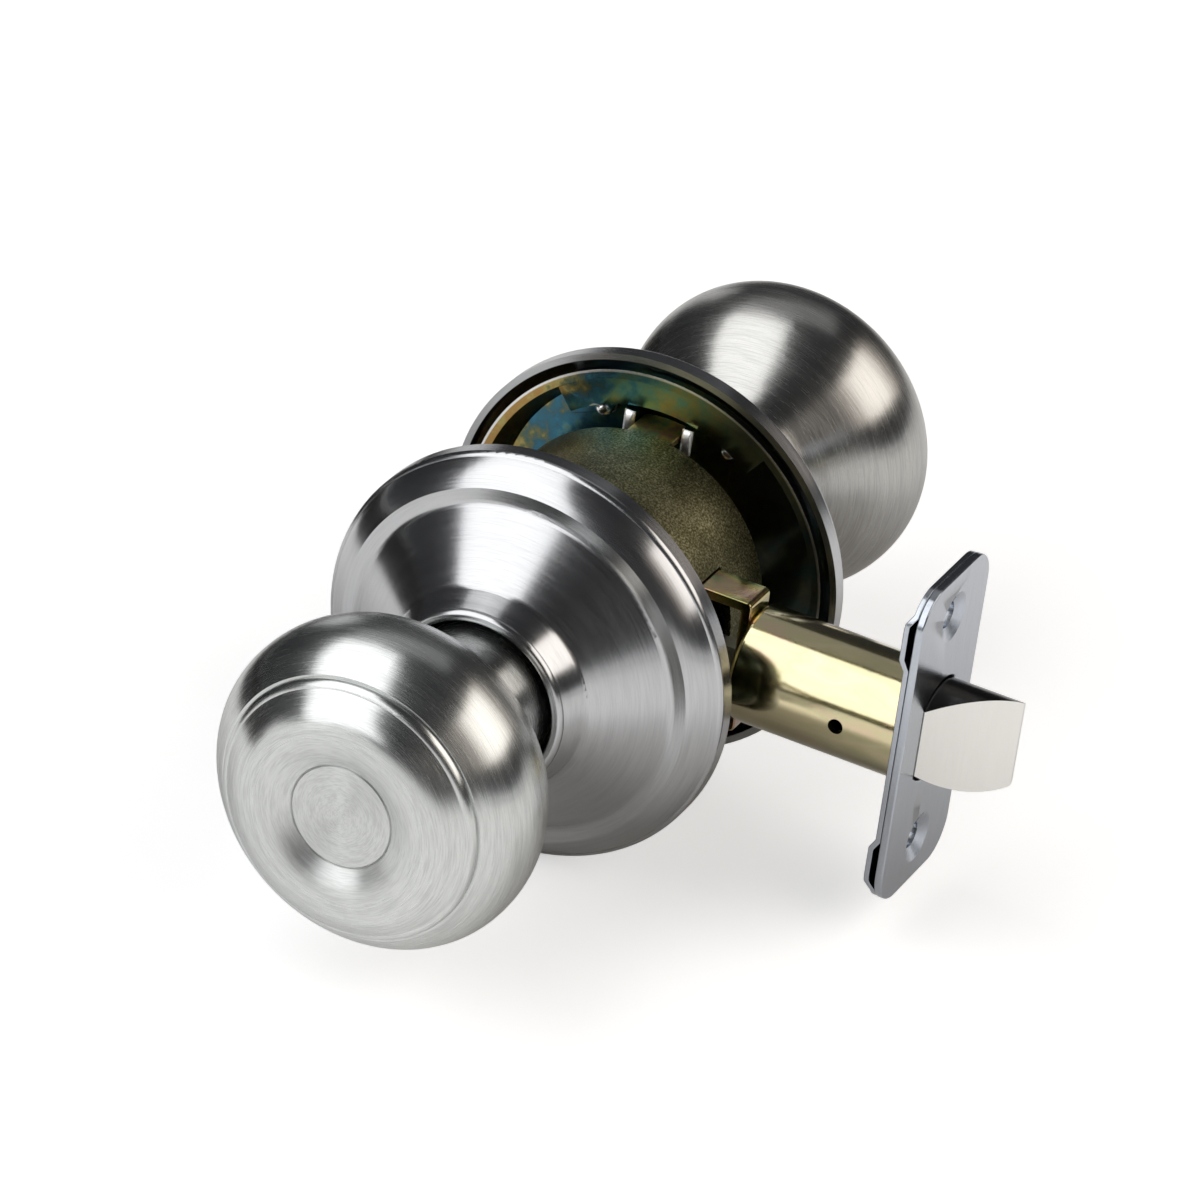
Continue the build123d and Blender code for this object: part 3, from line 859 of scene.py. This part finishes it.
@dataclass(frozen=True)
class CoilSpring:
    """Round-wire compression spring along X, wound at rest; the slide that squeezes it toward its fixed end
    does not move it here.
    """

    node: str
    joint: str
    start: float
    end: float
    radius: float
    wire: float
    turns: int
    z: float = 0.0
    travel: float = 12.7
    steps_per_turn: int = 40
    wire_sides: int = 12

    def build(self) -> str:
        """Wind the spring in its solid's place.

        At turn t the wire's middle is at x = start + half wire + pitch t and radius x (cos, sin)
        around the axis; a circle of half the wire stands across that helix.

        Returns:
            The spring's name.
        """
        rise = (self.end - self.start - self.wire) / self.turns
        turn = np.linspace(0, self.turns, self.steps_per_turn * self.turns)[:, None]
        angle = 2 * np.pi * turn
        out = np.stack([0 * angle, np.cos(angle), np.sin(angle)], -1)
        sweep = 2 * np.pi * self.radius
        along = np.stack([rise + 0 * angle, -sweep * np.sin(angle), sweep * np.cos(angle)], -1)
        across = np.cross(along / np.linalg.norm(along, axis=-1, keepdims=True), out)
        section = np.linspace(0, 2 * np.pi, self.wire_sides, endpoint=False)[None, :, None]
        middle = np.stack([self.start + self.wire / 2 + rise * turn, 0 * turn, self.z + 0 * turn], -1)
        ring = self.wire / 2 * (np.cos(section) * out + np.sin(section) * across)
        points = middle + self.radius * out + ring
        piece = place_object(f"{self.node}_coil", grid_mesh(self.node, points, around=True, capped=True))
        piece.data.materials.append(INNER_STEEL.material())
        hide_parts(self.node)
        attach(piece, "chassis")
        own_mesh(piece)
        return piece.name


@dataclass
class Knob:
    """Knob of one side: neck, flared shell and crimped face on a spindle tube with its catch."""

    side: Side

    def build(self) -> list[str]:
        """Dress the knob's solids.

        Returns:
            Their names.
        """
        nickel = (self.side.node(name) for name in ("knob_shell", "knob_face", "knob_shank"))
        steel = (self.side.node(name) for name in ("spindle", "knob_catch"))
        # The inside knob wears the nickel with painted shade and a painted warm reflection.
        finish = KNOB_NICKEL if self.side is Side.OUTSIDE else REAR_NICKEL_PAINTED_SHADE
        return finish.wear(*nickel) + INNER_STEEL.wear(*steel)


@dataclass
class Rose:
    """Rose of one side."""

    side: Side

    def build(self) -> list[str]:
        """Dress the rose."""
        return ROSE_NICKEL.wear(self.side.node("rose"))


@dataclass
class MountingPlates:
    """Dished sheet plates inside the two roses."""

    edges: RoundedEdges = RoundedEdges(0.15)
    lug_x: float = 5.3
    lug_z: float = 22.85
    lug_half: Pair = (0.99, 2.3)
    squareness: float = 0.35
    lug_end: float = 19.02
    swell: float = 0.8
    swell_reach: float = 0.47
    swell_steps: tuple[int, int] = (40, 24)

    def lug_end_swell(self, side: int) -> str:
        """Rounded sheared end of a lug: a closed pillow half sunk in it.

        Over u around and v from the back to the front, with c and s the cosine and sine raised to
        their powers: x = middle + half width c(u) c(v), z = middle + half height s(u) c(v),
        y = end - swell s(v).

        Args:
            side: -1 for the left lug, 1 for the right one.

        Returns:
            The piece's name.
        """
        u = np.linspace(0, 2 * np.pi, self.swell_steps[0], endpoint=False)[None, :]
        v = np.pi * np.linspace(-self.swell_reach, self.swell_reach, self.swell_steps[1])[:, None]
        cos_u, sin_u = (np.sign(w) * np.abs(w) ** self.squareness for w in (np.cos(u), np.sin(u)))
        points = [
            side * self.lug_x + self.lug_half[0] * cos_u * np.cos(v),
            self.lug_end - self.swell * np.sin(v) + 0 * u,
            self.lug_z + self.lug_half[1] * sin_u * np.cos(v),
        ]
        name = f"lug_end_{'left' if side < 0 else 'right'}"
        piece = place_object(name, grid_mesh(name, np.stack(points, -1), around=True, capped=True))
        piece.data.materials.append(BARE_STEEL.material())
        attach(piece, "chassis")
        return name

    def build(self) -> list[str]:
        """Dress the liner, and round the sheared edges and lug ends of the inside plate.

        Returns:
            Names of the solids and the new pieces.
        """
        rounded = self.edges.copy("mounting_plate", "chassis", Slot.YELLOW, FILM_ZINC)
        ends = [self.lug_end_swell(side) for side in (-1, 1)]
        return LINER_ZINC.wear("outside_rose_liner") + FILM_ZINC.wear("mounting_plate") + [rounded, *ends]


@dataclass
class Chassis:
    """Drum with its hubs, retractor and springs, and the two threaded mounting screws."""

    screw_x: float = 16.5
    root: float = 2.0
    crest: float = 0.28
    pitch: float = 0.8
    start: float = 15.8
    end: float = 23.6
    ridge_out: tuple[float, ...] = (-0.1, 1.0, 1.0, -0.1)
    ridge_along: tuple[float, ...] = (-0.4, -0.08, 0.08, 0.4)
    ridge_least: float = 0.05
    steps_per_turn: int = 48
    edges: RoundedEdges = RoundedEdges(0.2)
    springs: tuple[CoilSpring, ...] = (
        CoilSpring("retractor_spring_upper", "retractor_slide", -16.0, 2.67, 2.0, 0.7, 6, 10.5),
        CoilSpring("retractor_spring_lower", "retractor_slide", -16.0, 2.67, 2.0, 0.7, 6, -10.5),
    )

    def thread(self, side: int) -> str:
        """Ridge wound on a mounting screw.

        At turn t the section's corners (out, along) lie at radius root + out and at distance
        start + pitch t + along; the crest's height falls to nothing over half a turn at both ends.

        Args:
            side: -1 for the left screw, 1 for the right one.

        Returns:
            The ridge's name.
        """
        turns = (self.end - self.start) / self.pitch
        turn = np.linspace(0, turns, int(self.steps_per_turn * turns))[:, None]
        fade = np.clip(2 * np.minimum(turn, turns - turn), self.ridge_least, 1)
        out = fade * np.array(self.ridge_out) * self.crest
        along = fade * np.array(self.ridge_along) * self.pitch
        angle = 2 * np.pi * turn
        radius = self.root + out
        points = [
            side * self.screw_x + radius * np.cos(angle),
            self.start + self.pitch * turn + along,
            radius * np.sin(angle),
        ]
        name = f"screw_thread_{'left' if side < 0 else 'right'}"
        piece = place_object(name, grid_mesh(name, np.stack(points, -1), around=True, capped=True))
        piece.data.materials.append(INNER_STEEL.material())
        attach(piece, "chassis")
        return name

    def build(self) -> list[str]:
        """Dress the chassis, round the drum's edges, and wind the screw threads and the springs.

        Returns:
            Names of the solids and the new pieces.
        """
        olive = DRUM_ZINC.wear("chassis_housing", "chassis_end_plate", "outside_hub", "inside_hub")
        steel = INNER_STEEL.wear(
            "retractor_cage", "retractor", "retractor_spring_upper", "retractor_spring_lower",
            "mounting_screw_left", "mounting_screw_right",
        )
        rounded = self.edges.copy("chassis_housing", "chassis", Slot.YELLOW, DRUM_ZINC)
        coils = [spring.build() for spring in self.springs]
        return olive + steel + [rounded, self.thread(-1), self.thread(1), *coils]


@dataclass
class Latch:
    """Latch case, its two plates and the bolt."""

    plates: RoundedEdges = RoundedEdges(
        0.3, segments=3, crease=18.0, holes=((62.0, 0.0, 20.65), (62.0, 0.0, -20.65)),
    )
    casting: RoundedEdges = RoundedEdges(0.25, segments=3)
    strap: RoundedEdges = RoundedEdges(0.3)
    spring: CoilSpring = CoilSpring("bolt_spring", "bolt_slide", 31.2, 49.5, 5.0, 0.9, 5)

    def build(self) -> list[str]:
        """Dress the latch, round the edges of the plates, the bolt and the strap, and wind its spring.

        Returns:
            Names of the solids and the new pieces.
        """
        gold = TUBE_ZINC.wear("latch_tube") + STRAP_ZINC.wear("latch_yoke")
        zinc = PLATE_ZINC.wear("latch_faceplate", "latch_backplate")
        nickel = BOLT_NICKEL.wear("latch_bolt")
        steel = INNER_STEEL.wear("latch_tail", "latch_tail_pin", "bolt_spring")
        rounded = [
            self.plates.copy("latch_faceplate", "chassis", Slot.BRIGHT, PLATE_ZINC),
            self.plates.copy("latch_backplate", "chassis", Slot.BRIGHT, PLATE_ZINC),
            self.strap.copy("latch_yoke", "chassis", Slot.YELLOW, STRAP_ZINC),
            self.casting.copy("latch_bolt", "bolt", Slot.NICKEL, BOLT_NICKEL),
            self.spring.build(),
        ]
        return gold + zinc + nickel + steel + rounded


@dataclass(frozen=True)
class Softbox:
    """Rectangular lamp with an even face, white or tinted, aimed at the part."""

    name: str
    toward: Triple
    along: Triple
    size: Pair
    glow: float
    tint: Colour = (1.0, 1.0, 1.0)
    reach: float = 1.0

    def build(self) -> str:
        """Hang the lamp, its long side along the given direction.

        Returns:
            The lamp's name.
        """
        lamp = bpy.data.lights.new(self.name, "AREA")
        lamp.shape = "RECTANGLE"
        lamp.size, lamp.size_y = self.size
        lamp.energy = self.glow * math.pi * self.size[0] * self.size[1]
        lamp.color = self.tint
        box = place_object(self.name, lamp)
        out = Vector(self.toward).normalized()
        up = out.cross(Vector(self.along)).normalized()
        turn = Matrix((up.cross(out), up, out)).transposed().to_4x4()
        box.matrix_world = Matrix.Translation(out * self.reach) @ turn
        box.visible_camera = False
        return box.name


@dataclass
class Studio:
    """White floor in a dark room, a long key at the left, a warm box at the right, and the camera."""

    azimuth: float = 23.49
    elevation: float = 30.26
    roll: float = 7.80
    distance: float = 1098.6
    focal_pixels: float = 6771.4
    aside: Pair = (-2.0, -0.03)
    sensor: float = 36.0
    floor_inner: float = 1.0
    floor_radius: float = 3000.0
    floor_steps: int = 96
    flag_radius: float = 200.0
    flag_foot: float = 0.1
    flag_top: float = 12.0
    flag_steps: int = 48
    flag_arc: Pair = (-140.0, -40.0)
    dark: Colour = (0.035, 0.036, 0.038)
    horizon: Colour = (0.9, 0.9, 0.9)
    horizon_rise: Pair = (0.07, 0.02)
    horizon_side: Pair = (-0.1, 0.3)
    lamps: tuple[Softbox, ...] = (
        Softbox("key", (-0.495, -0.567, 0.664), (-0.0675, 0.8375, 0.544), (1.65, 0.8), 2.15),
        Softbox("side", (0.754, 0.133, 0.643), (-0.17, 0.98, 0.0), (1.2, 0.6), 1.6, (1.0, 0.97, 0.93)),
        Softbox(
            "side_edge", (0.754, 0.133, 0.643), (-0.17, 0.98, 0.0), (1.8, 0.66), 0.6, (1.0, 0.85, 0.72), 1.02,
        ),
        Softbox("back_fill", (-0.25, 0.433, 0.866), (0.87, 0.5, 0.0), (0.9, 0.6), 0.3),
        Softbox("back_strip", (-0.67, 0.72, 0.17), (-0.1, -0.1, 1.0), (0.35, 0.2), 0.8),
    )

    def floor(self, level: float) -> bpy.types.Object:
        """Round floor at the part's lowest point: a ring grid of points radius x (cos, sin).

        Args:
            level: height of the floor.

        Returns:
            The floor.
        """
        turn = np.linspace(0, 2 * np.pi, self.floor_steps, endpoint=False)[None, :]
        radius = np.array([self.floor_inner, self.floor_radius])[:, None]
        points = np.stack([radius * np.cos(turn), radius * np.sin(turn), level + 0 * radius * turn], -1)
        floor = place_object("floor", grid_mesh("floor", points, around=True))
        floor.data.materials.append(WHITE_PAPER.material())
        floor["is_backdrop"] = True
        return floor

    def flag(self, level: float) -> bpy.types.Object:
        """Low dark card around the left side that only reflections show.

        Its points lie at radius x (sin, -cos), from the floor up to its top.

        Args:
            level: height of the floor.

        Returns:
            The card.
        """
        turn = np.radians(np.linspace(*self.flag_arc, self.flag_steps))[None, :]
        rise = np.array([level + self.flag_foot, self.flag_top])[:, None]
        aside, ahead = self.flag_radius * np.sin(turn), -self.flag_radius * np.cos(turn)
        points = np.stack([aside + 0 * rise, ahead + 0 * rise, rise + 0 * turn], -1)
        card = place_object("flag", grid_mesh("flag", points))
        card.data.materials.append(BLACK_CARD.material())
        card.visible_camera = card.visible_diffuse = card.visible_shadow = False
        card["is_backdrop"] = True
        return card

    def room(self) -> None:
        """World: dark room, with the white of the paper just over the horizon at the right."""
        world = bpy.data.worlds.new("room")
        world.use_nodes = True
        bpy.context.scene.world = world
        graph = Graph(world.node_tree)
        direction = graph.add("ShaderNodeTexCoord").outputs["Generated"]
        parts = graph.add("ShaderNodeSeparateXYZ", Vector=direction).outputs
        low = graph.smooth(parts["Z"], *self.horizon_rise)
        right = graph.smooth(parts["X"], *self.horizon_side)
        colour = graph.mix(graph.math("MULTIPLY", low, right), self.dark, self.horizon)
        graph.close(graph.add("ShaderNodeBackground", Color=colour, Strength=1.0), "ShaderNodeOutputWorld")

    def camera(self) -> None:
        """Camera on a sphere around the origin, rolled about its own axis and slid aside."""
        a, e, r = (math.radians(v) for v in (self.azimuth, self.elevation, self.roll))
        right = Vector((math.cos(a), math.sin(a), 0))
        back = Vector((math.sin(a) * math.cos(e), -math.cos(a) * math.cos(e), math.sin(e)))
        up = back.cross(right)
        turned_right = right * math.cos(r) + up * math.sin(r)
        turned_up = up * math.cos(r) - right * math.sin(r)
        place = back * self.distance - turned_right * self.aside[0] - turned_up * self.aside[1]
        lens = bpy.data.cameras.new("camera")
        lens.sensor_width = self.sensor
        lens.lens = self.focal_pixels * self.sensor / IMAGE_SIDE
        camera = place_object("camera", lens)
        turn = Matrix((turned_right, turned_up, back)).transposed().to_4x4()
        camera.matrix_world = Matrix.Translation(place * MM) @ turn
        bpy.context.scene.camera = camera

    def build(self, level: float) -> list[str]:
        """Set up the whole studio.

        Args:
            level: height of the floor in metres.

        Returns:
            Names of the stage pieces and lamps.
        """
        self.room()
        stage = [self.floor(level / MM).name, self.flag(level / MM).name]
        lamps = [lamp.build() for lamp in self.lamps]
        self.camera()
        bpy.context.scene.view_settings.view_transform = "Standard"
        return stage + lamps


def main() -> None:
    """Build the sub-assemblies and the studio, with the floor at the lowest point of the box before them."""
    logging.basicConfig(level=logging.INFO, format="%(message)s")
    cad_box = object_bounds()
    groups = [part(side) for side in Side for part in (Knob, Rose)]
    for group in (*groups, MountingPlates(), Chassis(), Latch()):
        LOG.info("%s: %s", type(group).__name__, ", ".join(group.build()))
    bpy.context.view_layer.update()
    LOG.info("Studio: %s", ", ".join(Studio().build(float(cad_box[0][2]))))


if __name__ == "__main__":
    main()
